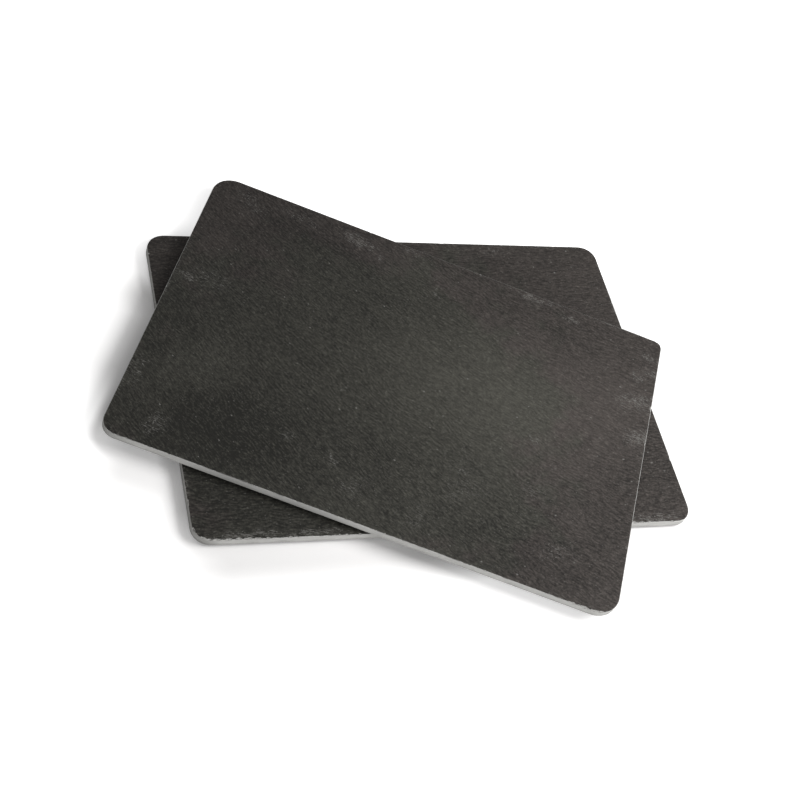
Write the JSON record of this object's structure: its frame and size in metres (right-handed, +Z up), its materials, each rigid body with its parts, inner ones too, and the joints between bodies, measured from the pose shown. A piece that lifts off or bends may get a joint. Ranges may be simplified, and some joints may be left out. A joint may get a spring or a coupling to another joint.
{
  "type": "slate serving board",
  "caption": "Rectangular natural slate serving boards with rounded corners and stick-on rubber feet, one lying turned on the other.",
  "frame": {"origin": "centre of the lower board, at the level of the table that its feet stand on", "axes": "+X along the upper board's long side, -Y the side that faces the viewer, +Z up"},
  "size_m": [0.4157, 0.371, 0.016],
  "materials": {
    "slate": "matte",
    "foot_rubber": "matte",
    "tape": "satin"
  },
  "bodies": {
    "lower_board": {"lower_slate": "slate", "lower_pad_front_left": "foot_rubber", "lower_pad_front_right": "foot_rubber", "lower_pad_back_left": "foot_rubber", "lower_pad_back_right": "foot_rubber", "lower_tape_front_left": "tape", "lower_tape_front_right": "tape", "lower_tape_back_left": "tape", "lower_tape_back_right": "tape"},
    "upper_board": {"upper_slate": "slate", "upper_pad_front_left": "foot_rubber", "upper_pad_front_right": "foot_rubber", "upper_pad_back_left": "foot_rubber", "upper_pad_back_right": "foot_rubber", "upper_tape_front_left": "tape", "upper_tape_front_right": "tape", "upper_tape_back_left": "tape", "upper_tape_back_right": "tape"}
  },
  "joints": [
    {"name": "upper_board_lift", "type": "slide", "parent": "lower_board", "child": "upper_board", "axis": [0, 0, 1], "range_m": [0, 0.15]}
  ]
}
